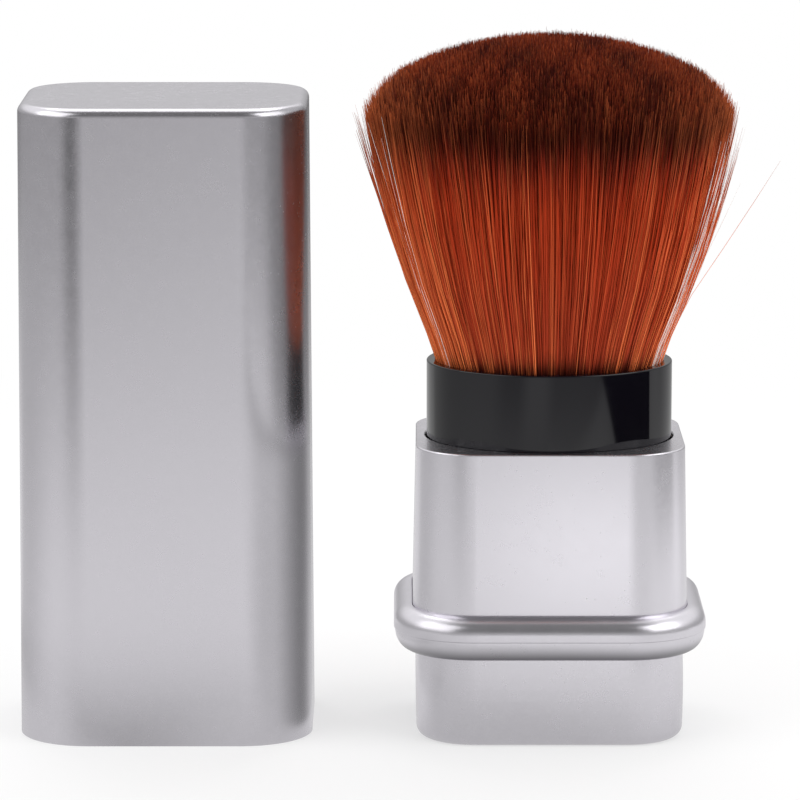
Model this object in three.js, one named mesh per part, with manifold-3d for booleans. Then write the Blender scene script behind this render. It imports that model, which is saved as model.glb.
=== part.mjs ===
// Retractable makeup brush: a domed tuft in a black oval ferrule, a silver collar that slides up
// over the ferrule, a base that it stands on, and a tall cap that stands beside it.
// Millimetres, +Z up, front towards -Y. Origin: centre of the base's resting face.

import * as THREE from "three";
import { mergeVertices } from "three/addons/utils/BufferGeometryUtils.js";
import Module from "manifold-3d";

// Driving dimensions

const body = { width: 37.5, depth: 33, cornerRadius: 8.4 }; // outline of the collar at its foot
const base = {
  rise: 12.3, // floor to the foot of the skirt
  inset: 0.5, // inside the body outline
  wall: 0.6,
  edgeRadius: 1.2,
  coreWall: 1.2,
  coreRoof: 1.6,
  ribThickness: 1.2,
};
const skirt = {
  height: 2.8,
  topReach: 2.45, // outside the body outline, at the seam with the bead
  footReach: 0.4,
  rimGap: 0.25, // round the base
  overlap: 0.6, // how far the skirt reaches down round the base
  plate: 1.5,
  recessWall: 1.6,
  postRadius: 1,
  postHeight: 5,
};
const bead = { height: 3.2, reach: 2.6, crownReach: 0.3, lowerEdge: 0.15 };
const collar = { height: 22.1, wall: 0.5, taper: 0.45, rimRadius: 0.18 };
const guide = {
  wall: 0.65, // thinnest, at the middle of each side of the bore
  flangeHeight: 1.45,
  flangeReach: 1.6,
  skin: 0.8, // outer wall left beside the cored corners
  coreRoof: 2.4,
  mouthChamfer: 0.4,
};
const ferrule = { exposed: 10.5, wall: 1.3, edgeRadius: 0.25 };
const carrier = {
  stemInset: 3.6, // inside the ferrule's outline
  stemWall: 1.5,
  flange: 3,
  roof: 1.6,
  spigot: 5,
  spigotWall: 1.3,
  tongueWidth: 6,
  tongueLength: 7,
  tongueSlot: 0.8,
  bumpRadius: 0.7,
  bumpProud: 0.2,
  catchWidth: 5,
  catchHeight: 1.8,
  catchProud: 0.8,
  catchRise: 3, // above the stem's foot
};
const sealRing = { radius: 0.55, proud: 0.12, grooveGap: 0.1 };
const socket = { wall: 1.2, floor: 1.4 };
const hair = {
  plugHeight: 7, // potted roots
  backing: 3, // the slice that the strands stand on
  belowRim: 0.7,
  rootInset: 0.8, // of the outermost strands, inside the ferrule
  fringeWidth: 2.6, // of the outer slice
  sliceGap: 0.3,
};
const tuft = {
  height: 45, // above the ferrule
  halfWidth: 26.1,
  halfDepth: 20.2,
  flareHeight: 34, // above the potted roots, where those half sizes are reached
  crownDrop: 7.6,
  shoulderDrop: 2.6,
  rootRadius: 0.34,
  coreRadius: 0.85,
  fringeRadius: 0.68,
  tipRadius: 0.2,
};
const strand = { coreCount: 200, outerRing: 72, innerRing: 64 };
const cap = {
  height: 87,
  clearance: 0.2, // of the liner round the collar's foot
  linerWall: 0.55,
  wall: 0.5,
  taper: 0.5,
  edgeRadius: 1,
  linerHeight: 21,
  linerRecess: 0.4,
  linerLead: 0.5,
  gripRadius: 0.5,
  gripProud: 0.15,
  gripHeight: 13,
  gripAbove: 4,
  standOff: 52.6, // to the left of the brush
  standBack: 2.2,
};
const travel = 16; // of the collar, up over the ferrule

// Clearances

const fit = 0.05; // glued or pressed pieces
const slide = 0.25; // the ferrule in its bore, the stem in its plate
const seat = 0.1; // pieces that come to rest on one another
const overrun = 1; // how far a cutter reaches past what it cuts
const weldDistance = 0.0001; // under which two corners are one

// Angles and facets

const fullTurn = 2 * Math.PI;
const quarterTurn = fullTurn / 4;
const cornerSteps = 7;
const ovalSteps = 40;
const roundSteps = 12;
const filletSteps = 3;
const ringSteps = 8;

// Heights that several pieces share

const skirtTop = base.rise + skirt.height;
const beadTop = skirtTop + bead.height;
const collarTop = beadTop + collar.height;
const ferruleTop = collarTop + ferrule.exposed;
const plateFoot = base.rise + skirt.overlap;
const plateTop = plateFoot + skirt.plate;
const baseTop = plateFoot - seat;
const guideFoot = skirtTop + fit;
const guideFlangeTop = guideFoot + guide.flangeHeight;
const guideTop = collarTop - collar.wall - fit;
const flangeFoot = plateTop + travel + seat;
const flangeTop = flangeFoot + carrier.flange;
const ferruleFoot = flangeTop + fit;
const backingTop = ferruleTop - hair.belowRim;
const backingFoot = backingTop - hair.backing;
const plugTop = backingFoot - fit;
const coreFoot = base.wall + fit;
const stemFoot = coreFoot + socket.floor + seat;
const catchFoot = stemFoot + carrier.catchRise;
const bumpMiddle = plateFoot + travel - seat - carrier.bumpRadius;
const tongueTop = bumpMiddle + carrier.bumpRadius + carrier.tongueSlot;

// Oval sizes that several pieces share: half width and half depth

const collarShellInset = collar.taper + collar.wall + fit;
const boreInset = collarShellInset + guide.wall;
const bore = { a: body.width / 2 - boreInset, b: body.depth / 2 - boreInset };
const ferruleOval = grown(bore, -slide);
const ferruleBore = grown(ferruleOval, -ferrule.wall);
const stemOval = grown(ferruleOval, -carrier.stemInset);
const plugOval = grown(ferruleBore, -fit);
const rootOval = grown(ferruleBore, -hair.rootInset);

function grown(oval, by) {
  return { a: oval.a + by, b: oval.b + by };
}

// Solids

const wasm = await Module();
wasm.setup();

function toSolid(geometry) {
  const bare = geometry.index ? geometry.toNonIndexed() : geometry.clone();
  bare.deleteAttribute("normal");
  bare.deleteAttribute("uv");
  const merged = mergeVertices(bare, weldDistance);
  const mesh = new wasm.Mesh({
    numProp: 3,
    vertProperties: merged.attributes.position.array,
    triVerts: new Uint32Array(merged.index.array),
  });
  return new wasm.Manifold(mesh);
}

function toGeometry(solid) {
  const mesh = solid.getMesh();
  const positions = new Float32Array(mesh.numVert * 3);
  for (let i = 0; i < mesh.numVert; i++) {
    const from = i * mesh.numProp;
    positions.set(mesh.vertProperties.subarray(from, from + 3), i * 3);
  }
  const geometry = new THREE.BufferGeometry();
  geometry.setAttribute("position", new THREE.BufferAttribute(positions, 3));
  geometry.setIndex(new THREE.BufferAttribute(mesh.triVerts, 1));
  return geometry;
}

const joined = (first, ...rest) => rest.reduce((all, one) => all.add(one), first);
const cutBy = (first, ...rest) => rest.reduce((all, one) => all.subtract(one), first);

// Outlines: a rounded rectangle and an oval, each grown by an offset

function roundedOutline(width, depth, radius) {
  return (offset) => {
    const r = Math.max(radius + offset, fit);
    const x = width / 2 + offset - r;
    const y = depth / 2 + offset - r;
    const corners = [
      [x, y],
      [-x, y],
      [-x, -y],
      [x, -y],
    ];
    return corners.flatMap(([cx, cy], turn) => {
      const arc = new THREE.EllipseCurve(cx, cy, r, r, turn * quarterTurn, (turn + 1) * quarterTurn, false, 0);
      return arc.getPoints(cornerSteps);
    });
  };
}

function ovalOutline(oval) {
  return (offset) => {
    const curve = new THREE.EllipseCurve(0, 0, oval.a + offset, oval.b + offset, 0, fullTurn, false, 0);
    return curve.getPoints(ovalSteps).slice(0, ovalSteps);
  };
}

const bodyOutline = roundedOutline(body.width, body.depth, body.cornerRadius);

// A profile of (offset, height) points carried round an outline. A closed profile makes a ring, and
// an open one is capped at both ends.
function carried(outline, profile, closed) {
  const rings = profile.map((point) => outline(point.x).map((p) => [p.x, p.y, point.y]));
  const count = rings[0].length;
  const faces = [];
  const spans = closed ? rings.length : rings.length - 1;
  for (let k = 0; k < spans; k++) {
    const low = rings[k];
    const high = rings[(k + 1) % rings.length];
    for (let i = 0; i < count; i++) {
      const j = (i + 1) % count;
      faces.push(low[i], low[j], high[j], low[i], high[j], high[i]);
    }
  }
  if (!closed) {
    const first = rings[0];
    const last = rings[rings.length - 1];
    for (let i = 1; i < count - 1; i++) {
      faces.push(first[0], first[i + 1], first[i]);
      faces.push(last[0], last[i], last[i + 1]);
    }
  }
  return solidOfFaces(faces);
}

// Triangles given as one list of corners. They are turned round if they enclose a negative volume.
function solidOfFaces(corners) {
  let volume = 0;
  for (let i = 0; i < corners.length; i += 3) {
    const [a, b, c] = [corners[i], corners[i + 1], corners[i + 2]].map((p) => new THREE.Vector3(...p));
    volume += a.dot(b.cross(c));
  }
  const ordered = volume < 0 ? corners.slice().reverse() : corners;
  const geometry = new THREE.BufferGeometry();
  geometry.setAttribute("position", new THREE.Float32BufferAttribute(ordered.flat(), 3));
  return toSolid(geometry);
}

const at = (offset, z) => new THREE.Vector2(offset, z);

// A straight block over an outline
function block(outline, offset, from, to) {
  return carried(outline, [at(offset, from), at(offset, to)], false);
}

// Points on a quarter of an ellipse, for a profile
function quarter(cx, cz, rx, rz, fromTurn, toTurn) {
  const [start, end] = [fromTurn * quarterTurn, toTurn * quarterTurn];
  const curve = new THREE.EllipseCurve(cx, cz, rx, rz, start, end, end < start, 0);
  return curve.getPoints(filletSteps);
}

// A round section, for a profile
function circle(cx, cz, radius) {
  const curve = new THREE.EllipseCurve(cx, cz, radius, radius, 0, fullTurn, false, 0);
  return curve.getPoints(ringSteps).slice(0, ringSteps);
}

function box(width, depth, height, x, y, z) {
  const geometry = new THREE.BoxGeometry(width, depth, height);
  geometry.translate(x, y, z);
  return toSolid(geometry);
}

function upright(radius, from, to, x = 0, y = 0) {
  const geometry = new THREE.CylinderGeometry(radius, radius, to - from, roundSteps);
  geometry.rotateX(quarterTurn);
  geometry.translate(x, y, (from + to) / 2);
  return toSolid(geometry);
}

// Base

function baseShell() {
  const outer = -base.inset;
  const inner = outer - base.wall;
  const round = base.edgeRadius;
  const inside = round - base.wall;
  const profile = [
    ...quarter(outer - round, round, round, round, -1, 0),
    at(outer, baseTop),
    at(inner, baseTop),
    ...quarter(inner - inside, base.wall + inside, inside, inside, 0, -1),
  ];
  return carried(bodyOutline, profile, false);
}

function baseCore() {
  const outer = -base.inset - base.wall - fit;
  const chamfer = base.edgeRadius - base.wall;
  const roof = baseTop - base.coreRoof;
  const socketOval = ovalOutline(grown(stemOval, slide));
  const edge = [at(outer - chamfer, coreFoot), at(outer, coreFoot + chamfer), at(outer, baseTop)];
  const pocket = block(bodyOutline, outer - base.coreWall, coreFoot - overrun, roof);
  const tray = cutBy(carried(bodyOutline, edge, false), pocket);
  const boss = block(socketOval, socket.wall, coreFoot, roof + fit);
  const hole = block(socketOval, 0, stemFoot - seat, baseTop + overrun);
  return cutBy(joined(tray, boss, ...coreRibs(roof)), hole, ...catchWindows());
}

// A rib along each middle line, which the socket interrupts
function coreRibs(roof) {
  const inside = 2 * (base.inset + base.wall + base.coreWall);
  const height = roof - coreFoot;
  const middle = (roof + coreFoot) / 2;
  return [
    box(body.width - inside, base.ribThickness, height, 0, 0, middle),
    box(base.ribThickness, body.depth - inside, height, 0, 0, middle),
  ];
}

function catchWindows() {
  const wall = slide + socket.wall + overrun;
  const width = carrier.catchWidth + 2 * slide;
  const height = carrier.catchHeight + 2 * slide;
  const z = catchFoot + carrier.catchHeight / 2;
  return [-1, 1].map((end) => box(2 * wall, width, height, end * stemOval.a, 0, z));
}

// Carrier: the stem that joins the base to the ferrule

function carrierBody() {
  const stem = ovalOutline(stemOval);
  const flange = ovalOutline(ferruleOval);
  const spigot = ovalOutline(grown(ferruleBore, -fit));
  const grooveDepth = 2 * sealRing.radius - sealRing.proud + sealRing.grooveGap;
  const grooveHalf = sealRing.radius + sealRing.grooveGap;
  const grooveMiddle = (flangeFoot + flangeTop) / 2;
  const head = carried(
    flange,
    [
      at(0, flangeFoot),
      at(0, grooveMiddle - grooveHalf),
      at(-grooveDepth, grooveMiddle - grooveHalf),
      at(-grooveDepth, grooveMiddle + grooveHalf),
      at(0, grooveMiddle + grooveHalf),
      at(0, flangeTop),
    ],
    false,
  );
  const column = block(stem, 0, stemFoot, flangeFoot + fit);
  const neck = block(spigot, 0, flangeTop - fit, flangeTop + carrier.spigot);
  const columnHollow = block(stem, -carrier.stemWall, stemFoot - overrun, flangeTop - carrier.roof);
  const neckHollow = block(spigot, -carrier.spigotWall, flangeTop, flangeTop + carrier.spigot + overrun);
  const open = cutBy(joined(head, column, neck), columnHollow, neckHollow);
  return cutBy(joined(open, ...tongueBumps(), ...footCatches()), ...tongueSlots());
}

// A wedge on each end of the stem, which snaps into its window in the socket
function footCatches() {
  return [-1, 1].map((end) => {
    const root = end * (stemOval.a - carrier.stemWall / 2);
    const tip = end * (stemOval.a + carrier.catchProud);
    const wedge = new THREE.Shape();
    wedge.moveTo(root, catchFoot);
    wedge.lineTo(tip, catchFoot + carrier.catchHeight);
    wedge.lineTo(root, catchFoot + carrier.catchHeight);
    const geometry = new THREE.ExtrudeGeometry(wedge, { depth: carrier.catchWidth, bevelEnabled: false });
    geometry.rotateX(quarterTurn);
    geometry.translate(0, carrier.catchWidth / 2, 0);
    return toSolid(geometry);
  });
}

// A tongue on the front and the back of the stem, freed by a slot on each side and one above
function tongueSlots() {
  const foot = tongueTop - carrier.tongueLength;
  const side = (carrier.tongueWidth + carrier.tongueSlot) / 2;
  const reach = 2 * carrier.stemWall + overrun;
  return [-1, 1].flatMap((face) => {
    const y = face * stemOval.b;
    const middle = (foot + tongueTop) / 2;
    return [
      box(carrier.tongueSlot, reach, carrier.tongueLength, -side, y, middle),
      box(carrier.tongueSlot, reach, carrier.tongueLength, side, y, middle),
      box(carrier.tongueWidth + 2 * carrier.tongueSlot, reach, carrier.tongueSlot, 0, y, tongueTop),
    ];
  });
}

// A bump that follows the stem's surface, near the top of each tongue
function tongueBumps() {
  const centre = carrier.bumpProud - carrier.bumpRadius;
  const rib = carried(ovalOutline(stemOval), circle(centre, bumpMiddle, carrier.bumpRadius), true);
  const width = carrier.tongueWidth - carrier.tongueSlot;
  const reach = 2 * carrier.stemWall;
  return [-1, 1].map((face) =>
    rib.intersect(box(width, reach, 2 * carrier.bumpRadius, 0, face * stemOval.b, bumpMiddle)),
  );
}

function frictionRing() {
  const centre = sealRing.proud - sealRing.radius;
  const z = (flangeFoot + flangeTop) / 2;
  return carried(ovalOutline(ferruleOval), circle(centre, z, sealRing.radius), true);
}

function ferruleTube() {
  const edge = ferrule.edgeRadius;
  const inner = -ferrule.wall;
  const profile = [
    at(inner, ferruleFoot),
    at(0, ferruleFoot),
    ...quarter(-edge, ferruleTop - edge, edge, edge, 0, 1),
    ...quarter(inner + edge, ferruleTop - edge, edge, edge, 1, 2),
  ];
  return carried(ovalOutline(ferruleOval), profile, true);
}

function hairPlug() {
  const foot = plugTop - hair.plugHeight;
  return block(ovalOutline(plugOval), 0, foot, plugTop);
}

// Sliding collar

function collarShell() {
  const inner = -collar.wall;
  const round = collar.rimRadius;
  const top = -collar.taper;
  const profile = [
    at(0, guideFlangeTop + fit),
    at(0, beadTop),
    ...quarter(top - round, collarTop - round, round, round, 0, 1),
  ];
  const outside = carried(bodyOutline, profile, false);
  const hollow = carried(
    bodyOutline,
    [
      at(inner, guideFlangeTop + fit - overrun),
      at(inner, beadTop),
      at(top - collar.wall, collarTop - collar.wall),
    ],
    false,
  );
  const mouth = block(ovalOutline(bore), 0, guideFlangeTop, collarTop + overrun);
  return cutBy(outside, hollow, mouth);
}

function guideTube() {
  const outer = -collar.wall - fit;
  const shape = carried(
    bodyOutline,
    [
      at(guide.flangeReach, guideFoot),
      at(guide.flangeReach, guideFlangeTop),
      at(outer, guideFlangeTop),
      at(outer, beadTop),
      at(outer - collar.taper, guideTop),
    ],
    false,
  );
  const boreOval = ovalOutline(bore);
  const chamfer = guide.mouthChamfer;
  const way = carried(
    boreOval,
    [
      at(chamfer, guideFoot - overrun),
      at(chamfer, guideFoot),
      at(0, guideFoot + chamfer),
      at(0, guideTop + overrun),
    ],
    false,
  );
  const cored = cutBy(
    block(bodyOutline, outer - collar.taper - guide.skin, guideFoot - overrun, guideTop - guide.coreRoof),
    block(boreOval, guide.skin, guideFoot - 2 * overrun, guideTop),
  );
  return cutBy(shape, cored, way);
}

function flangeRing() {
  const foot = guideFoot;
  const crown = at(bead.crownReach, beadTop);
  const sideRadius = bead.reach - bead.crownReach;
  const edge = bead.lowerEdge;
  const rebate = guide.flangeReach + fit;
  const profile = [
    at(fit, guideFlangeTop + fit),
    at(fit, beadTop - edge),
    ...quarter(crown.x, beadTop - sideRadius, sideRadius, sideRadius, 1, 0),
    ...quarter(bead.reach - edge, foot + edge, edge, edge, 0, -1),
    at(rebate, foot),
    at(rebate, guideFlangeTop + fit),
  ];
  return carried(bodyOutline, profile, true);
}

function retainerSkirt() {
  const run = skirt.topReach - skirt.footReach;
  const outside = quarter(skirt.footReach, skirtTop, run, skirt.height, -1, 0);
  const shape = carried(bodyOutline, outside, false);
  const seatPocket = block(bodyOutline, skirt.rimGap - base.inset, base.rise - overrun, plateFoot);
  const recess = block(bodyOutline, -skirt.recessWall, plateTop, skirtTop + overrun);
  const opening = block(ovalOutline(stemOval), slide, base.rise, skirtTop);
  const posts = postPlaces().map(([x, y]) => upright(skirt.postRadius, plateTop - fit, plateTop + skirt.postHeight, x, y));
  return joined(cutBy(shape, seatPocket, recess, opening), ...posts);
}

// The middle of each cored corner, between the bore and the outer skin
function postPlaces() {
  const diagonal = quarterTurn / 2;
  const centreX = body.width / 2 - body.cornerRadius;
  const centreY = body.depth / 2 - body.cornerRadius;
  const skinOffset = collar.wall + fit + collar.taper + guide.skin;
  const reach = body.cornerRadius - skinOffset;
  const outer = at(centreX + reach * Math.cos(diagonal), centreY + reach * Math.sin(diagonal));
  const wall = grown(bore, guide.skin);
  const scale = 1 / Math.hypot(outer.x / wall.a, outer.y / wall.b);
  const middle = (1 + scale) / 2;
  return [
    [outer.x * middle, outer.y * middle],
    [-outer.x * middle, outer.y * middle],
    [-outer.x * middle, -outer.y * middle],
    [outer.x * middle, -outer.y * middle],
  ];
}

// Tuft: strands fan out from the potted roots, and their tips make a dome

const flareRate = 1.2;
const strandShares = [0.28, 0.78]; // of a strand's height, where it bends
const shoulderPower = 12;
const coreShare = 0.78; // of the root oval, inside the fringe
const ringShares = [0.985, 0.9];

const flare = (z) => {
  const share = (z - backingTop) / tuft.flareHeight;
  return (1 - Math.exp(-flareRate * share)) / (1 - Math.exp(-flareRate));
};

function strandPoint(share, turn, z) {
  const spread = z <= backingTop ? 0 : flare(z);
  const a = rootOval.a + (tuft.halfWidth - rootOval.a) * spread;
  const b = rootOval.b + (tuft.halfDepth - rootOval.b) * spread;
  return new THREE.Vector3(share * a * Math.cos(turn), share * b * Math.sin(turn), z);
}

function strandTip(share) {
  const drop = tuft.crownDrop * share ** 2 + tuft.shoulderDrop * share ** shoulderPower;
  return ferruleTop + tuft.height - drop;
}

// One strand of three sides, from inside its backing to its tip
function strandFaces(share, turn, radius) {
  const tip = strandTip(share);
  const rise = tip - backingTop;
  const heights = [backingTop - hair.sliceGap, ...strandShares.map((s) => backingTop + rise * s), tip];
  const radii = [tuft.rootRadius, (tuft.rootRadius + radius) / 2, radius, tuft.tipRadius];
  const rings = heights.map((z, k) => {
    const middle = strandPoint(share, turn, z);
    return [0, 1, 2].map((side) => {
      const angle = turn + (fullTurn * side) / 3;
      return [middle.x + radii[k] * Math.cos(angle), middle.y + radii[k] * Math.sin(angle), z];
    });
  });
  const faces = [rings[0][0], rings[0][2], rings[0][1]];
  for (let k = 0; k + 1 < rings.length; k++) {
    for (let i = 0; i < 3; i++) {
      const j = (i + 1) % 3;
      faces.push(rings[k][i], rings[k][j], rings[k + 1][j], rings[k][i], rings[k + 1][j], rings[k + 1][i]);
    }
  }
  const last = rings[rings.length - 1];
  faces.push(last[0], last[1], last[2]);
  return faces;
}

function coreStrands() {
  const golden = Math.PI * (3 - Math.sqrt(5));
  const places = [];
  for (let i = 0; i < strand.coreCount; i++) {
    const share = coreShare * Math.sqrt((i + 0.5) / strand.coreCount);
    places.push({ share, turn: (i * golden) % fullTurn, radius: tuft.coreRadius });
  }
  return places;
}

function fringeStrands() {
  const counts = [strand.outerRing, strand.innerRing];
  return ringShares.flatMap((share, ring) => {
    const count = counts[ring];
    return Array.from({ length: count }, (_, i) => ({
      share,
      turn: (fullTurn * (i + 0.5)) / count,
      radius: tuft.fringeRadius,
    }));
  });
}

// Strands on a slice of backing. Every strand's root has to stand well inside the slice.
function bundle(slice, places) {
  const faces = places.flatMap(({ share, turn, radius }) => strandFaces(share, turn, radius));
  const geometry = new THREE.BufferGeometry();
  geometry.setAttribute("position", new THREE.Float32BufferAttribute(faces.flat(), 3));
  return joined(slice, toSolid(geometry));
}

function tuftCore(face) {
  const core = block(ovalOutline(plugOval), -hair.fringeWidth - hair.sliceGap, backingFoot, backingTop);
  const reach = 2 * body.width;
  const halfGap = hair.sliceGap / 2;
  const half = box(reach, reach, reach, 0, face * (reach / 2 + halfGap), backingTop);
  const side = ({ share, turn }) => Math.sign(share * rootOval.b * Math.sin(turn)) === face;
  const keep = halfGap + tuft.rootRadius;
  const clear = ({ share, turn }) => Math.abs(share * rootOval.b * Math.sin(turn)) > keep;
  return bundle(core.intersect(half), coreStrands().filter(side).filter(clear));
}

function tuftFringe(face) {
  const outline = ovalOutline(plugOval);
  const ring = carried(
    outline,
    [
      at(0, backingFoot),
      at(0, backingTop),
      at(-hair.fringeWidth, backingTop),
      at(-hair.fringeWidth, backingFoot),
    ],
    true,
  );
  const reach = 2 * body.width;
  const halfGap = hair.sliceGap / 2;
  const half = box(reach, reach, reach, face * (reach / 2 + halfGap), 0, backingTop);
  const side = ({ share, turn }) => Math.sign(share * rootOval.a * Math.cos(turn)) === face;
  const keep = halfGap + tuft.rootRadius;
  const clear = ({ share, turn }) => Math.abs(share * rootOval.a * Math.cos(turn)) > keep;
  return bundle(ring.intersect(half), fringeStrands().filter(side).filter(clear));
}

// Cap, in its own frame: the middle of its mouth

const capReach = cap.clearance + cap.linerWall + fit + cap.wall; // mouth outside the body outline

function capShell() {
  const outer = capReach;
  const top = capReach - cap.taper;
  const round = cap.edgeRadius;
  const inner = outer - cap.wall;
  const innerTop = top - cap.wall;
  const inside = round - cap.wall;
  const roof = cap.height - cap.wall;
  const profile = [
    ...quarter(innerTop - inside, roof - inside, inside, inside, 1, 0),
    at(inner, 0),
    at(outer, 0),
    ...quarter(top - round, cap.height - round, round, round, 0, 1),
  ];
  return carried(bodyOutline, profile, false);
}

function capLiner() {
  const foot = cap.linerRecess;
  const top = foot + cap.linerHeight;
  const lean = (z) => (cap.taper * z) / cap.height;
  const outer = capReach - cap.wall - fit;
  const inner = cap.clearance;
  const profile = [
    at(outer - lean(foot), foot),
    at(outer - lean(top), top),
    at(inner, top),
    at(inner, foot + cap.linerLead),
    at(inner + cap.linerWall / 2, foot),
  ];
  const grips = gripPlaces().map(([x, y]) => {
    const from = foot + cap.gripAbove;
    return upright(cap.gripRadius, from, from + cap.gripHeight, x, y);
  });
  const shell = block(bodyOutline, inner + cap.linerWall / 2, foot, top);
  const ribs = grips.map((grip) => grip.intersect(shell));
  return joined(carried(bodyOutline, profile, true), ...ribs);
}

// Two grips on each long face and one on each short face
function gripPlaces() {
  const sink = cap.clearance - cap.gripProud + cap.gripRadius;
  const x = body.width / 2 + sink;
  const y = body.depth / 2 + sink;
  const along = body.width / 2 - body.cornerRadius;
  const side = [
    [x, 0],
    [-x, 0],
  ];
  const faces = [-1, 1].flatMap((face) => [-1, 1].map((end) => [end * along, face * y]));
  return [...side, ...faces];
}

// Materials

const finish = (color, roughness, metalness) => new THREE.MeshStandardMaterial({ color, roughness, metalness });
const satinSilver = finish(0xb9b8bc, 0.38, 0.9);
const glossBlack = finish(0x0e0e11, 0.12, 0);
const whitePlastic = finish(0xdcdbd6, 0.5, 0);
const greyPlastic = finish(0x55565a, 0.55, 0);
const clearGlue = finish(0x8a5a34, 0.4, 0);
const siliconeRubber = finish(0x2a2a2c, 0.7, 0);
const copperFibre = finish(0xa8481c, 0.55, 0);

// Assembly

function node(name, solid, material) {
  const mesh = new THREE.Mesh(toGeometry(solid), material);
  mesh.name = name;
  return mesh;
}

const brush = new THREE.Group();
brush.add(
  node("base_shell", baseShell(), satinSilver),
  node("base_core", baseCore(), greyPlastic),
  node("carrier", carrierBody(), glossBlack),
  node("friction_ring", frictionRing(), siliconeRubber),
  node("ferrule", ferruleTube(), glossBlack),
  node("hair_plug", hairPlug(), clearGlue),
  node("tuft_core_front", tuftCore(-1), copperFibre),
  node("tuft_core_back", tuftCore(1), copperFibre),
  node("tuft_fringe_left", tuftFringe(-1), copperFibre),
  node("tuft_fringe_right", tuftFringe(1), copperFibre),
);

const sleeve = new THREE.Group();
sleeve.add(
  node("collar_shell", collarShell(), satinSilver),
  node("guide_tube", guideTube(), whitePlastic),
  node("flange_ring", flangeRing(), satinSilver),
  node("retainer_skirt", retainerSkirt(), satinSilver),
);

const cover = new THREE.Group();
cover.position.set(-cap.standOff, cap.standBack, 0);
cover.add(node("cap_shell", capShell(), satinSilver), node("cap_liner", capLiner(), whitePlastic));

const part = new THREE.Group();
part.add(brush, sleeve, cover);

export default part;
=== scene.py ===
"""Studio scene of a retractable makeup brush that stands beside its cap.

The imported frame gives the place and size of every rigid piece, and the dressed pieces follow it.
Lengths are metres, +Z is up, and the front faces -Y.
"""

import logging
import math
from dataclasses import dataclass
from enum import Enum
from functools import partial, reduce

import bpy
import numpy as np
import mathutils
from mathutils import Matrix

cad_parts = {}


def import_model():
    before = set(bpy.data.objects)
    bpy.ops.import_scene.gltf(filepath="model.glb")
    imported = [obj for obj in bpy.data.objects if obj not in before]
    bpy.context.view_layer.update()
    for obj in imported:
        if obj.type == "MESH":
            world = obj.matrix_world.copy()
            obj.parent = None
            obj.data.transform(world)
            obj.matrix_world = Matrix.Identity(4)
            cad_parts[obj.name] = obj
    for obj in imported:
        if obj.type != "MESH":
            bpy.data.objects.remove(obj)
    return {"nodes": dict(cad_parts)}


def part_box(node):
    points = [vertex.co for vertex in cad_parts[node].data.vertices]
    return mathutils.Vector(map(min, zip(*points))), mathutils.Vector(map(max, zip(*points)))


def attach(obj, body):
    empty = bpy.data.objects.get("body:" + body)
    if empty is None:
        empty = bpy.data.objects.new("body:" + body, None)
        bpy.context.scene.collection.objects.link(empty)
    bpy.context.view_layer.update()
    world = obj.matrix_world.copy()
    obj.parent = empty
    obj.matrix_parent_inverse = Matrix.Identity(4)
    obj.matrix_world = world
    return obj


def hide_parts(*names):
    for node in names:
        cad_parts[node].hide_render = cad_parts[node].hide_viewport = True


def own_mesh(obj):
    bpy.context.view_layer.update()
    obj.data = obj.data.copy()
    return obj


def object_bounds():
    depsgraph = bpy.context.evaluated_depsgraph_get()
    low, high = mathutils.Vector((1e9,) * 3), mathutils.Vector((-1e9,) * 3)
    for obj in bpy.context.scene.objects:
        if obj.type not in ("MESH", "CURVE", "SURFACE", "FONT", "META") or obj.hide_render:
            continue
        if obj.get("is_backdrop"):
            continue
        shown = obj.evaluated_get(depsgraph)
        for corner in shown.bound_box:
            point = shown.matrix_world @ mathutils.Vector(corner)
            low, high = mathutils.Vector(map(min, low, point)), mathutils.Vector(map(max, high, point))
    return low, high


LOG = logging.getLogger("makeup_brush")
MM = 0.001
EASE = 0.05 * MM  # of the flat spans beside a round edge
Colour = tuple[float, float, float]
Vector = tuple[float, float, float]
Span = tuple[float, float]
Waves = tuple[tuple[float, float, float, float], ...]
Socket = bpy.types.NodeSocket


class Axis(Enum):
    """The two upright axes that the pieces are built round, as (x, y)."""

    BRUSH = (0.0, 0.0)
    CAP = (-52.6 * MM, 2.2 * MM)


# Surfaces


def arc(centre: Span, radii: Span, turns: Span, steps: int) -> np.ndarray:
    """Points on an ellipse's arc, for a profile.

    Args:
        centre: The ellipse's centre, as (offset, height).
        radii: Its half sizes along offset and height.
        turns: Start and end angle, in quarter turns from the offset axis.
        steps: How many spans the arc is cut into.

    Returns:
        An array of (offset, height) rows: centre plus radii times (cosine, sine) of the angle.
    """
    angle = np.linspace(turns[0], turns[1], steps + 1) * math.pi / 2
    return np.stack((centre[0] + radii[0] * np.cos(angle), centre[1] + radii[1] * np.sin(angle)), axis=1)


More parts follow.
